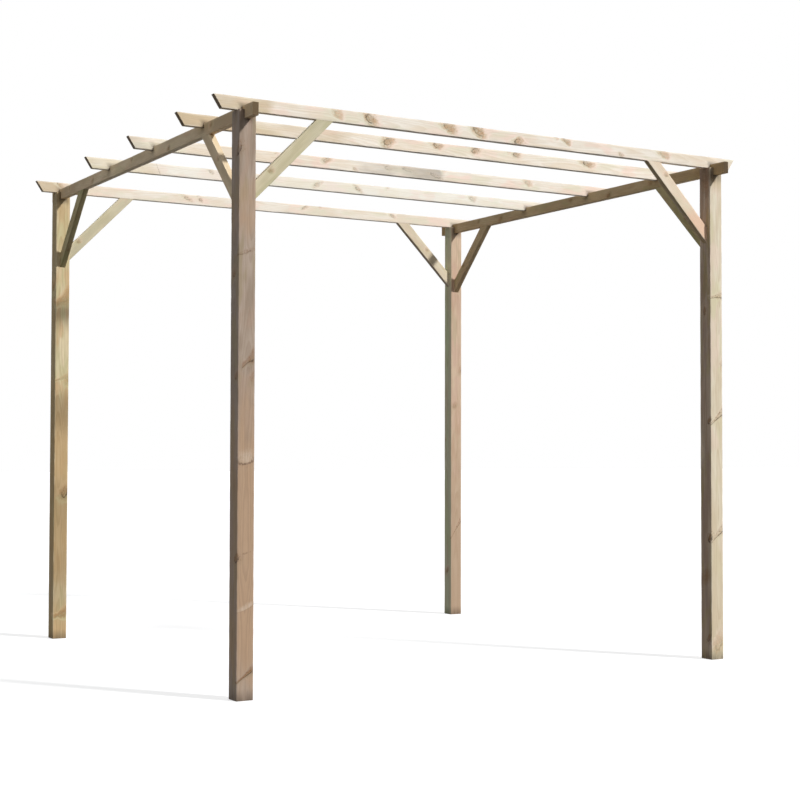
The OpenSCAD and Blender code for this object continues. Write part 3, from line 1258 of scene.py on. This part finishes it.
@dataclass
class Posts(Timbers):
    """The four square posts, each slotted for its side beam.

    Attributes:
        fit_gap: Room on each side of a beam in its slot.
        round_edge: Radius of the eased arrises.
        damp: Height of the damp stain at the foot.
        first_seed: Seed of the first post.
        back_aged: How weathered the back faces are.
        pith: Where the tree's middle lies, towards the outer side and the back.
        corner_shift: How far a corner's signs move the knots that don't face the front or the left.
        cross_shift: How much further such a knot moves for each metre across its face.
        finishes: Wood of each post.
        tints: Height and share of each post's lower colour.
        aged: How strongly each post's left face takes the aged colour: painted shade, and painted light on
            the back-right post.
        grime: How far the painted shade spreads from each post's slot.
    """

    fit_gap: float = 0.0003
    round_edge: float = 0.0026
    damp: float = 0.05
    first_seed: int = 11
    back_aged: float = 0.3
    pith: Tuple[float, float] = (0.006, 0.004)
    corner_shift: Tuple[float, float] = (0.11, 0.07)
    cross_shift: float = 20.0
    finishes: Dict[Corner, Finish] = field(default_factory=lambda: {
        Corner.FRONT_LEFT: Finish.TAUPE_POST,
        Corner.FRONT_RIGHT: Finish.CREAM_POST,
        Corner.BACK_LEFT: Finish.OLIVE_POST,
        Corner.BACK_RIGHT: Finish.PINK_POST})
    tints: Dict[Corner, Tints] = field(default_factory=lambda: {
        Corner.FRONT_LEFT: [(0.0, 0.35), (0.28, 0.9), (0.9, 0.8), (1.3, 0.35), (1.4, 0.0), (1.8, 0.05),
                            (1.95, 0.6), (2.1, 0.4), (2.2, 0.0)],
        Corner.FRONT_RIGHT: [(0.0, 0.9), (0.5, 0.55), (1.2, 0.4), (1.8, 0.0), (2.25, 0.0), (2.33, 0.8)],
        Corner.BACK_LEFT: [(0.0, 0.6), (0.25, 0.5), (0.5, 0.75), (1.1, 0.85), (1.25, 0.6), (1.5, 0.1),
                           (1.9, 0.1), (2.1, 0.35)],
        Corner.BACK_RIGHT: [(0.0, 0.9), (0.8, 0.6), (1.5, 0.1)]})
    # The left faces take the aged colour as painted shade, and on the back-right post as painted light
    aged: Dict[Corner, float] = field(default_factory=lambda: {
        Corner.FRONT_LEFT: 0.5, Corner.FRONT_RIGHT: 0.95, Corner.BACK_LEFT: 0.7, Corner.BACK_RIGHT: 0.8})
    # Reach of the painted shade at each post's slot
    grime: Dict[Corner, float] = field(default_factory=lambda: {
        Corner.FRONT_LEFT: 0.016, Corner.FRONT_RIGHT: 0.040, Corner.BACK_LEFT: 0.030,
        Corner.BACK_RIGHT: 0.030})

    def knots(self, corner: Corner, half: float) -> List[Knot]:
        """Lists a post's knots.

        Args:
            corner: Which post.
            half: Half the side of the post.

        Returns:
            The knots on the front and left faces, then those on the back and right faces.
        """
        left, right, front, back = Side.LOW_V, Side.HIGH_V, Side.LOW_W, Side.HIGH_W
        shown = {
            Corner.FRONT_LEFT: [
                Knot(2.240, left, -0.030, 0.011, 0.35, 1.0, 0.2, 2.2, slant=0.8),
                Knot(1.815, front, -0.010, 0.026, 0.0, 0.6, 0.2, 0.22),
                Knot(1.730, left, 0.005, 0.009),
                Knot.spike(1.400, half, 0.021, 0.22, 0.75, 0.55, 0.85, 0.3),
                Knot(1.310, left, -0.020, 0.008),
                Knot(0.972, front, 0.000, 0.036, -0.55, 0.55, 0.0, 0.50, slant=0.15),
                Knot(0.575, left, -0.028, 0.012, 0.6, 0.8, 0.2),
                Knot(0.590, front, -0.014, 0.022, 0.0, 0.75, 0.1, 0.12, slant=0.35),
                Knot(0.372, front, 0.002, 0.036, -0.55, 0.15, 0.0, 0.20),
                Knot.spike(0.130, half, 0.011, 0.6, 0.9, 0.6, 0.75)],
            Corner.FRONT_RIGHT: [
                Knot.spike(1.775, half, 0.013, 0.0, 1.0, 0.4, 0.2),
                Knot(1.700, left, 0.004, 0.008, 0.9, 0.6, 0.1, 2.6),
                Knot.spike(1.205, half, 0.016, 0.03, 1.0, 0.4, 0.85),
                Knot(1.160, left, -0.026, 0.011, 0.9, 0.9, 0.0, 1.3, slant=0.7),
                Knot.spike(0.640, half, 0.019, 0.03, 1.0, 0.4, 0.95),
                Knot(0.590, left, -0.028, 0.011, 0.9, 1.0, 0.1, 2.0, slant=0.3),
                Knot(0.400, left, 0.000, 0.040, 0.55, 0.0, 0.0, 1.1),
                Knot(0.075, front, 0.006, 0.019, 0.05, 0.3, 0.6, slant=0.5),
                Knot(0.105, left, -0.018, 0.012, 0.7, 0.6, 0.0, 1.2, slant=0.8),
                # These two are painted shade at the head of the post: a dark smudge on the left face under
                # the beam, and one on the front face in the shadow of the beam's end
                Knot(2.340, left, -0.004, 0.034, 0.6, 0.15, 0.0, 2.2, slant=-0.6),
                Knot(2.352, front, -0.024, 0.026, 0.7, 0.0, 0.0, 1.2, slant=-0.6)],
            Corner.BACK_RIGHT: [
                Knot(2.010, front, 0.014, 0.007, 0.2, 0.3, 0.4),
                Knot(1.290, front, -0.012, 0.009, 0.2, 0.3, 0.5),
                Knot.spike(0.590, half, 0.014, 0.05, 0.85, 0.3, 1.6),
                Knot(0.270, left, 0.004, 0.009)],
            Corner.BACK_LEFT: [
                Knot.spike(1.850, half, 0.032, 0.18, 0.15, 0.7, 0.8),
                Knot(1.890, left, 0.0, 0.010, 0.8, 0.4, 0.7, 2.2),
                Knot.spike(1.410, half, 0.010, 0.1, 0.2, 0.35, 0.4),
                Knot(0.780, front, 0.020, 0.015, 0.1, 0.8, 0.7),
                Knot.spike(0.140, half, 0.020, 0.2, 0.2, 0.9, 0.3)],
        }[corner]
        hidden = [
            Knot(2.05, back, 0.010, 0.012, slant=0.9),
            Knot(1.43, right, -0.022, 0.013, 0.25, slant=1.2),
            Knot(0.98, back, -0.024, 0.009, 0.3, 0.7, 0.4, 2.2),
            Knot(0.66, right, 0.024, 0.010, 0.3, stretch=2.0),
            Knot(0.31, back, 0.006, 0.014, 0.2, slant=-0.8),
            Knot(0.17, right, 0.004, 0.006, 0.5, 0.4, 0.2)]
        shift = sum(sign * step for sign, step in zip(corner.value, self.corner_shift))
        return shown + [replace(knot, along=knot.along + shift * (1 + knot.across * self.cross_shift))
                        for knot in hidden]

    @staticmethod
    def cracks(seed: int) -> List[Check]:
        """Lists the drying cracks in a post's back and right faces.

        Args:
            seed: The post's seed, which moves the crack at the back.

        Returns:
            The cracks.
        """
        return [Check(Side.HIGH_W, 0.006, 0.35 + 0.04 * seed, 1.25 + 0.03 * seed),
                Check(Side.HIGH_V, -0.004, 1.1, 2.0, 0.005)]

    def bars(self) -> List[Bar]:
        """Lays out the posts.

        Returns:
            One bar for each post.
        """
        bars = []
        for seed, corner in enumerate(Corner, self.first_seed):
            node = "post_" + corner.label
            low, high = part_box(node)
            beam_low, beam_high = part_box(corner.beam)
            middle = (low + high) / 2
            slot = ((beam_low.z - low.z, beam_low.x - middle.x - self.fit_gap, -PAST),
                    (high.z - low.z + PAST, beam_high.x - middle.x + self.fit_gap, PAST))
            bars.append(Bar(
                node=node, slot="post_wood", finish=self.finishes[corner],
                length=high.z - low.z, width=high.x - low.x, height=high.y - low.y,
                place=framed(Vector((middle.x, middle.y, low.z)), (0, 0, 1), (1, 0, 0), (0, 1, 0)),
                seed=seed, round_edge=self.round_edge, pith=(self.pith[0] * corner.value[0], self.pith[1]),
                damp_start=self.damp, grime_reach=self.grime[corner], tints=self.tints[corner],
                aged={Side.LOW_V: self.aged[corner], Side.HIGH_W: self.back_aged},
                knots=self.knots(corner, (high.x - low.x) / 2), checks=self.cracks(seed), cutters=[slot]))
        return bars


@dataclass
class SideBeams(Timbers):
    """The two side beams that lie in the post slots.

    Attributes:
        round_edge: Radius of the eased arrises.
        pith: Where the tree's middle lies in the section.
        first_seed: Seed of the first beam.
        top_aged: How weathered the tops are.
        finishes: Wood of each beam.
        tints: Distance from the front end and share of each beam's lower colour, painted shade near the posts
            and at the ends.
        shifts: How far each beam's knots are moved.
    """

    round_edge: float = 0.0018
    pith: Tuple[float, float] = (0.02, -0.045)
    first_seed: int = 31
    top_aged: float = 0.5
    finishes: Dict[str, Finish] = field(default_factory=lambda: {
        "beam_left": Finish.PALE_BEAM, "beam_right": Finish.BROWN_BEAM})
    # The shares near the posts and at both ends are painted shade; in between they give the beams' own darker
    # tone
    tints: Dict[str, Tints] = field(default_factory=lambda: {
        "beam_left": [(0.0, 1.0), (0.26, 0.9), (0.5, 0.6), (0.65, 0.43), (1.25, 0.43), (1.5, 0.33),
                      (2.0, 0.47), (2.35, 0.85)],
        "beam_right": [(0.0, 1.0), (0.1, 0.9), (0.22, 0.55), (0.4, 0.4), (0.8, 0.0), (2.38, 0.0),
                       (2.44, 1.0)]})
    shifts: Dict[str, float] = field(default_factory=lambda: {"beam_left": 0.0, "beam_right": 0.13})

    @staticmethod
    def knots(shift: float) -> List[Knot]:
        """Lists a beam's knots.

        Args:
            shift: How far some of them are moved along the beam.

        Returns:
            The knots on the left face, the right face and the underside.
        """
        left, right, under = Side.LOW_V, Side.HIGH_V, Side.LOW_W
        return [
            Knot(0.42 + shift, left, 0.006, 0.008, 0.4, 0.2, 0.5),
            Knot(0.90, left, -0.010, 0.009, 0.6, 0.4),
            Knot(1.37 - shift, left, 0.012, 0.007, 0.2, 0.2, 0.6),
            Knot(1.93, left, -0.004, 0.010, 0.4, 0.3),
            Knot(2.30 - shift, left, 0.008, 0.007, 0.3, 0.3, 0.4),
            Knot(0.63, right, 0.0, 0.010),
            Knot(1.18 + shift, right, -0.012, 0.008),
            Knot(1.74, right, 0.010, 0.009),
            Knot(2.11, under, 0.0, 0.006),
            Knot(1.05 + shift, under, 0.003, 0.006)]

    def bars(self) -> List[Bar]:
        """Lays out the beams.

        Returns:
            One bar for each beam.
        """
        bars = []
        for seed, (node, finish) in enumerate(self.finishes.items(), self.first_seed):
            low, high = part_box(node)
            middle = (low + high) / 2
            bars.append(Bar(
                node=node, slot="beam_wood", finish=finish,
                length=high.y - low.y, width=high.x - low.x, height=high.z - low.z,
                place=framed(Vector((middle.x, low.y, middle.z)), (0, 1, 0), (1, 0, 0), (0, 0, 1)),
                seed=seed, round_edge=self.round_edge, pith=self.pith, tints=self.tints[node],
                aged={Side.HIGH_W: self.top_aged}, knots=self.knots(self.shifts[node])))
        return bars


@dataclass
class Rafters(Timbers):
    """The five rafters, notched over the beams and raked at both ends.

    Attributes:
        rake: How much further the top edge reaches than the bottom edge.
        fit_gap: Room on each side of a beam in its notch.
        round_edge: Radius of the eased arrises.
        bow: Sideways bow, to one side and the other in turn.
        first_seed: Seed of the first rafter.
        top_aged: How weathered the tops are.
        back_aged: How weathered the back faces are.
        back_shift: How far the knots at the back lie from those at the front.
        top_shift: How far a knot on top moves from rafter to rafter.
        pith: Where the tree's middle lies in the section, for a rafter before the first.
        pith_step: How far the tree's middle climbs from rafter to rafter.
        finishes: Wood of each rafter, counted from the front.
        tints: Distance from the left end and share of each rafter's lower colour.
    """

    rake: float = 0.036
    fit_gap: float = 0.0003
    round_edge: float = 0.0018
    bow: float = 0.002
    first_seed: int = 41
    top_aged: float = 0.5
    back_aged: float = 0.2
    back_shift: float = 0.21
    top_shift: float = 0.09
    pith: Tuple[float, float] = (0.03, -0.04)
    pith_step: float = 0.015
    finishes: Sequence[Finish] = (
        Finish.PALE_RAFTER, Finish.PALE_RAFTER, Finish.STREAKED_RAFTER, Finish.WHITE_RAFTER,
        Finish.PALE_RAFTER)
    tints: Sequence[Tints] = field(default_factory=lambda: [
        [(0.0, 0.62), (0.24, 0.6), (0.30, 0.0)],
        [(0.0, 1.0), (0.15, 1.0), (0.35, 0.5), (0.8, 0.45), (1.0, 0.0)],
        [(0.0, 0.5), (0.35, 0.0), (1.1, 0.0), (1.25, 0.5), (1.45, 0.45), (1.62, 0.8), (1.68, 0.8),
         (1.72, 0.2)],
        [(0.0, 0.55), (0.35, 0.5), (0.5, 0.0)],
        [(0.0, 0.75), (0.14, 0.7), (0.25, 0.0)]])

    def knots(self, number: int) -> List[Knot]:
        """Lists a rafter's knots.

        Args:
            number: The rafter, counted from the front.

        Returns:
            The knots on its front face from the left end, those on its back face, and those on its top.
        """
        front, back, top = Side.LOW_V, Side.HIGH_V, Side.HIGH_W
        shown = {
            1: [Knot(0.57, front, 0.006, 0.012, 0.00, 0.15, 0.8, 1.2, slant=0.6),
                Knot(0.728, front, 0.002, 0.018, 0.36, 0.68, 1.0, 1.1, slant=0.5),
                Knot(1.13, front, 0.008, 0.018, 0.26, 0.45, 1.0, 1.3, slant=0.9),
                Knot(1.285, front, 0.006, 0.018, 0.22, 0.60, 1.0, 1.2, slant=0.8),
                Knot(1.50, front, -0.012, 0.012, 0.17, 0.68, 0.9, 1.5, slant=-0.5),
                Knot(1.77, front, 0.014, 0.011, 0.14, 0.45, 0.9, 1.1, slant=1.1),
                Knot(2.09, front, -0.018, 0.007, 0.21, 0.38, 0.5),
                Knot(2.35, front, 0.012, 0.014, 0.07, 0.22, 0.8, 1.4, slant=0.7)],
            2: [Knot(0.64, front, 0.000, 0.010, 0.03, 0.15, 0.6, slant=0.5),
                Knot(1.04, front, 0.004, 0.015, 0.32, 0.68, 0.9, 1.3, slant=-0.4),
                Knot(1.31, front, 0.014, 0.012, 0.32, 0.68, 0.8, 1.6, slant=0.4),
                Knot(1.52, front, 0.010, 0.011, 0.35, 0.68, 0.7, 1.6, slant=-0.3),
                Knot(1.76, front, 0.014, 0.009, 0.32, 0.60, 0.6, 1.9),
                Knot(2.19, front, 0.012, 0.011, 0.35, 0.68, 0.8, 2.2, slant=0.8)],
            3: [Knot(1.03, front, 0.012, 0.010, 0.17, 0.38, 0.7, 1.4, slant=-0.6),
                Knot(1.19, front, -0.014, 0.006, 0.21, 0.30, 0.4),
                Knot(1.38, front, 0.006, 0.008, 0.05, 0.35, 0.1, 1.8, slant=0.8),
                Knot(1.50, front, 0.008, 0.008, 0.00, 0.35, 0.05, 3.2, slant=2.2),
                Knot(1.66, front, -0.004, 0.010, 0.05, 0.45, 0.1, 2.0, slant=1.6),
                Knot(2.24, front, 0.008, 0.010, 0.03, 0.22, 0.6, slant=0.5)],
            4: [Knot(0.38, front, 0.000, 0.022, 0.00, 0.50, 0.1, 0.10),
                Knot(0.67, front, 0.012, 0.007, 0.20, 0.40, 0.35, slant=0.9),
                Knot(1.28, front, 0.002, 0.009, 0.10, 0.35, 0.5, 1.5, slant=-0.9),
                Knot(1.53, front, 0.000, 0.009, 0.17, 0.50, 0.6, 1.4, slant=1.0),
                Knot(2.27, front, 0.008, 0.010, 0.14, 0.30, 0.5, 1.5, slant=0.6)],
            5: [Knot(0.13, front, 0.016, 0.010, 0.14, 0.38, 0.7, 1.3, slant=0.8),
                Knot(0.87, front, 0.004, 0.008, 0.10, 0.50, 0.5, 1.8, slant=1.5),
                Knot(0.95, front, 0.002, 0.006, 0.40, 0.60, 0.3, 1.6, slant=0.5),
                Knot(1.61, front, 0.012, 0.007, 0.20, 0.50, 0.45, 1.5, slant=-0.8),
                Knot(2.21, front, 0.010, 0.008, 0.17, 0.45, 0.45, 1.4, slant=0.9)]}[number]
        hidden = [replace(knot, along=knot.along + self.back_shift, side=back, across=-knot.across)
                  for knot in shown]
        over = [Knot(0.48 + self.top_shift * number, top, 0.002, 0.008), Knot(1.71, top, -0.003, 0.007)]
        return shown + hidden + over

    def bars(self) -> List[Bar]:
        """Lays out the rafters.

        Returns:
            One bar for each rafter.
        """
        bars = []
        for number, (finish, tints) in enumerate(zip(self.finishes, self.tints), 1):
            node = f"rafter_{number}"
            low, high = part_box(node)
            middle = (low + high) / 2
            notches = []
            for beam in ("beam_left", "beam_right"):
                beam_low, beam_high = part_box(beam)
                notches.append(((beam_low.x - low.x - self.fit_gap, -PAST, -PAST),
                                (beam_high.x - low.x + self.fit_gap, PAST, beam_high.z - middle.z)))
            bars.append(Bar(
                node=node, slot="rafter_wood", finish=finish,
                length=high.x - low.x, width=high.y - low.y, height=high.z - low.z,
                place=framed(Vector((low.x, middle.y, middle.z)), (1, 0, 0), (0, 1, 0), (0, 0, 1)),
                seed=self.first_seed + number - 1, round_edge=self.round_edge,
                pith=(self.pith[0], self.pith[1] + self.pith_step * number), cut_low=self.rake,
                bow=self.bow if number % 2 else -self.bow, tints=tints,
                aged={Side.HIGH_W: self.top_aged, Side.HIGH_V: self.back_aged},
                knots=self.knots(number), cutters=notches))
        return bars


@dataclass
class Braces(Timbers):
    """The eight braces in the corners under the rafters and the beams.

    Attributes:
        face: Width of a brace's face.
        round_edge: Radius of the eased arrises.
        pith: Where the tree's middle lies in the section.
        first_seed: Seed of the first brace.
        beam_seed: What is added to the seeds of the braces under the beams.
        aged: How strongly the undersides of the braces under the rafters take the aged colour, as painted
            shade.
        finishes: Wood of the braces under the rafters.
        shaded: Wood of the braces under the beams.
        tints: Distance from the foot and share of the lower colour on some braces.
        marks: Places of the braces' knots along them.
        under_mark: Place from which the underside's knot is counted back.
    """

    face: float = 0.055
    round_edge: float = 0.0018
    pith: Tuple[float, float] = (0.025, 0.04)
    first_seed: int = 61
    beam_seed: int = 10
    # The braces' undersides take the aged colour as painted shade
    aged: float = 0.85
    finishes: Dict[Corner, Finish] = field(default_factory=lambda: {
        Corner.FRONT_LEFT: Finish.GREEN_BRACE,
        Corner.FRONT_RIGHT: Finish.CREAM_BRACE,
        Corner.BACK_LEFT: Finish.GREEN_BRACE,
        Corner.BACK_RIGHT: Finish.CREAM_POST})
    shaded: Dict[Corner, Finish] = field(default_factory=lambda: {
        Corner.FRONT_LEFT: Finish.PALE_BEAM,
        Corner.FRONT_RIGHT: Finish.OLIVE_BRACE,
        Corner.BACK_LEFT: Finish.OLIVE_BRACE,
        Corner.BACK_RIGHT: Finish.BROWN_BEAM})
    tints: Dict[str, Tints] = field(default_factory=lambda: {
        "brace_front_left_x": [(0.25, 0.0), (0.42, 0.45)],
        "brace_front_left_y": [(0.0, 0.47)],
        "brace_front_right_x": [(0.0, 1.0), (0.16, 0.6), (0.26, 0.1)],
        "brace_back_left_x": [(0.1, 0.6), (0.4, 0.3)],
        "brace_back_right_x": [(0.0, 0.5)]})
    marks: Sequence[float] = (0.15, 0.31, 0.40, 0.22, 0.12, 0.36, 0.27, 0.18)
    under_mark: float = 0.52

    def knots(self, number: int) -> List[Knot]:
        """Lists a brace's knots.

        Args:
            number: The brace, counted from 0 in the order they are built.

        Returns:
            One knot on each face and one on the underside.
        """
        first = self.marks[number]
        second = self.marks[-1 - number]
        return [Knot(first, Side.LOW_V, 0.010, 0.006, 0.35, 0.3, 0.5),
                Knot(second, Side.HIGH_V, 0.004, 0.008),
                Knot(self.under_mark - second, Side.LOW_W, 0.003, 0.005, 0.3, 0.3, 0.4)]

    def bars(self) -> List[Bar]:
        """Lays out the braces.

        Returns:
            One bar for each brace.
        """
        bars = []
        half = math.sqrt(0.5)
        for index, (corner, turn) in enumerate(itertools.product(Corner, (0, 1))):
            under_rafter = turn == 0
            node = f"brace_{corner.label}_{'xy'[turn]}"
            low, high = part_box(node)
            inward = -corner.value[turn]
            foot = Vector((low + high) / 2)
            foot.z = low.z
            foot[turn] = low[turn] if inward > 0 else high[turn]
            along = Vector((0, 0, half))
            along[turn] = inward * half
            up = Vector((0, 0, half))
            up[turn] = -inward * half
            across = Vector((0, 1, 0)) if under_rafter else Vector((1, 0, 0))
            bars.append(Bar(
                node=node, slot="brace_wood", finish=(self.finishes if under_rafter else self.shaded)[corner],
                length=(high.z - low.z) * math.sqrt(2), width=(high - low)[1 - turn], height=self.face,
                place=framed(foot + up * self.face / 2, along, across, up),
                seed=self.first_seed + index // 2 + self.beam_seed * turn,
                round_edge=self.round_edge, pith=self.pith, cut_high=self.face,
                tints=self.tints.get(node, [(0.0, 0.0)]),
                aged={Side.LOW_W: self.aged} if under_rafter else {}, knots=self.knots(index)))
        return bars


@dataclass(frozen=True)
class Lamp:
    """A wide, even lamp a long way off.

    Attributes:
        name: Name of the lamp.
        source: Direction that its light comes from.
        power: Strength of its light.
        spread: Width of the lamp, in degrees.
    """

    name: str
    source: Triple
    power: float
    spread: float

    # How far off the lamp is drawn, in metres
    OFF: ClassVar[float] = 8.0

    def hang(self, scene: bpy.types.Scene) -> None:
        """Hangs the lamp.

        Args:
            scene: Scene that it lights.
        """
        light = bpy.data.lights.new(self.name, "SUN")
        light.energy = self.power
        light.angle = math.radians(self.spread)
        lamp = bpy.data.objects.new(self.name, light)
        lamp.rotation_mode = "QUATERNION"
        lamp.rotation_quaternion = Vector(self.source).to_track_quat("Z", "Y")
        lamp.location = Vector(self.source) * self.OFF
        scene.collection.objects.link(lamp)


@dataclass
class Studio:
    """The pale floor, the soft light and the camera.

    Attributes:
        eye: Where the camera stands, in metres.
        heading: Turn of its view to the right of +Y, in degrees.
        rise: Upward tilt of its view, in degrees.
        roll: Turn about its view, in degrees.
        lens: Focal length in millimetres.
        sensor: Width of the sensor in millimetres.
        sight: How far the camera sees, in metres.
        lamps: The key light, the light from the rear and the light from the side.
        fill: Strength of the light from all around.
        fill_colour: Colour of the light from all around.
        white: Colour of the backdrop.
        floor_reach: Half the side of the floor, in metres.
        floor_shade: Colour by which the floor that is seen takes light and shadow.
        floor_glow: Brightness of the floor that is seen, without any light.
        floor_dull: Colour of the floor that throws light back at the frame.
    """

    eye: Triple = (-3.8833, -6.9261, 1.0121)
    heading: float = 30.407
    rise: float = 1.860
    roll: float = 0.129
    lens: float = 69.38
    sensor: float = 36.0
    sight: float = 200.0
    lamps: Sequence[Lamp] = (
        Lamp("key_light", (0.46, -0.66, 0.595), 3.40, 5.0),
        Lamp("rear_light", (0.36, 0.90, 0.20), 3.0, 40.0),
        Lamp("side_light", (-0.85, -0.35, 0.40), 0.44, 60.0))
    fill: float = 0.22
    fill_colour: Colour = (0.97, 1.0, 1.04, 1.0)
    white: Colour = (1.0, 1.0, 1.0, 1.0)
    floor_reach: float = 60.0
    floor_shade: Colour = (0.50, 0.50, 0.50, 1.0)
    floor_glow: float = 0.62
    floor_dull: Colour = (0.075, 0.073, 0.07, 1.0)

    def build(self) -> None:
        """Sets up the floor, the light and the camera."""
        scene = bpy.context.scene
        scene.view_settings.view_transform = "Standard"
        self._floor(scene)
        self._surroundings(scene)
        for lamp in self.lamps:
            lamp.hang(scene)
        self._camera(scene)

    @staticmethod
    def _backdrop(bench: NodeBench, kind: str, thrown: bpy.types.Node, shown: bpy.types.Node) -> None:
        """Gives a material or world one look that is seen and another that lights the frame.

        Args:
            bench: Where the nodes go.
            kind: Blender's name for the output node.
            thrown: Shader that lights the frame.
            shown: Shader that is seen, also in a reflection or through glass.
        """
        path = bench.add("ShaderNodeLightPath", {}).outputs
        seen = bench.math("MAXIMUM", path["Is Camera Ray"], path["Is Glossy Ray"])
        seen = bench.math("MAXIMUM", seen, path["Is Transmission Ray"])
        mix = bench.add("ShaderNodeMixShader", {0: seen, 1: thrown.outputs[0], 2: shown.outputs[0]})
        bench.add(kind, {"Surface": mix.outputs[0]})

    def _floor(self, scene: bpy.types.Scene) -> None:
        """Lays the pale floor, which keeps the shadows.

        Args:
            scene: Scene that it goes into.
        """
        mesh = bpy.data.meshes.new("pale_floor")
        reach = self.floor_reach
        corners = [(-reach, -reach, 0), (reach, -reach, 0), (reach, reach, 0), (-reach, reach, 0)]
        mesh.from_pydata(corners, [], [(0, 1, 2, 3)])
        floor = bpy.data.objects.new("pale_floor", mesh)
        scene.collection.objects.link(floor)
        material = bpy.data.materials.new("pale_floor")
        material.use_nodes = True
        bench = NodeBench(material.node_tree)
        shade = bench.add("ShaderNodeBsdfDiffuse", {"Color": self.floor_shade})
        glow = bench.add("ShaderNodeEmission", {"Color": self.white, "Strength": self.floor_glow})
        bright = bench.add("ShaderNodeAddShader", {0: shade.outputs[0], 1: glow.outputs[0]})
        dull = bench.add("ShaderNodeBsdfDiffuse", {"Color": self.floor_dull})
        self._backdrop(bench, "ShaderNodeOutputMaterial", dull, bright)
        mesh.materials.append(material)

    def _surroundings(self, scene: bpy.types.Scene) -> None:
        """Makes the white surroundings and their fill light.

        Args:
            scene: Scene that they surround.
        """
        world = bpy.data.worlds.new("white_studio")
        world.use_nodes = True
        bench = NodeBench(world.node_tree)
        fill = bench.add("ShaderNodeBackground", {"Color": self.fill_colour, "Strength": self.fill})
        white = bench.add("ShaderNodeBackground", {"Color": self.white, "Strength": 1.0})
        self._backdrop(bench, "ShaderNodeOutputWorld", fill, white)
        scene.world = world

    def _camera(self, scene: bpy.types.Scene) -> None:
        """Stands the camera where the view is taken from.

        Args:
            scene: Scene that it looks at.
        """
        turn, tilt, lean = (math.radians(angle) for angle in (self.heading, self.rise, self.roll))
        forward = Vector((math.sin(turn) * math.cos(tilt), math.cos(turn) * math.cos(tilt), math.sin(tilt)))
        level = Vector((math.cos(turn), -math.sin(turn), 0))
        upright = level.cross(forward)
        right = level * math.cos(lean) + upright * math.sin(lean)
        up = upright * math.cos(lean) - level * math.sin(lean)
        lens = bpy.data.cameras.new("camera")
        lens.lens = self.lens
        lens.sensor_width = self.sensor
        lens.sensor_fit = "HORIZONTAL"
        lens.clip_end = self.sight
        camera = bpy.data.objects.new("camera", lens)
        camera.matrix_world = framed(Vector(self.eye), right, up, -forward)
        scene.collection.objects.link(camera)
        scene.camera = camera


def main() -> None:
    """Builds the pergola and its studio."""
    logging.basicConfig(level=logging.INFO, format="%(name)s: %(message)s")
    Studio().build()
    for group in (Posts(), SideBeams(), Rafters(), Braces()):
        for piece in group.build():
            LOG.info("%s: %s, %d faces", type(group).__name__, piece.name, len(piece.data.polygons))
    bpy.context.view_layer.update()


if __name__ == "__main__":
    main()
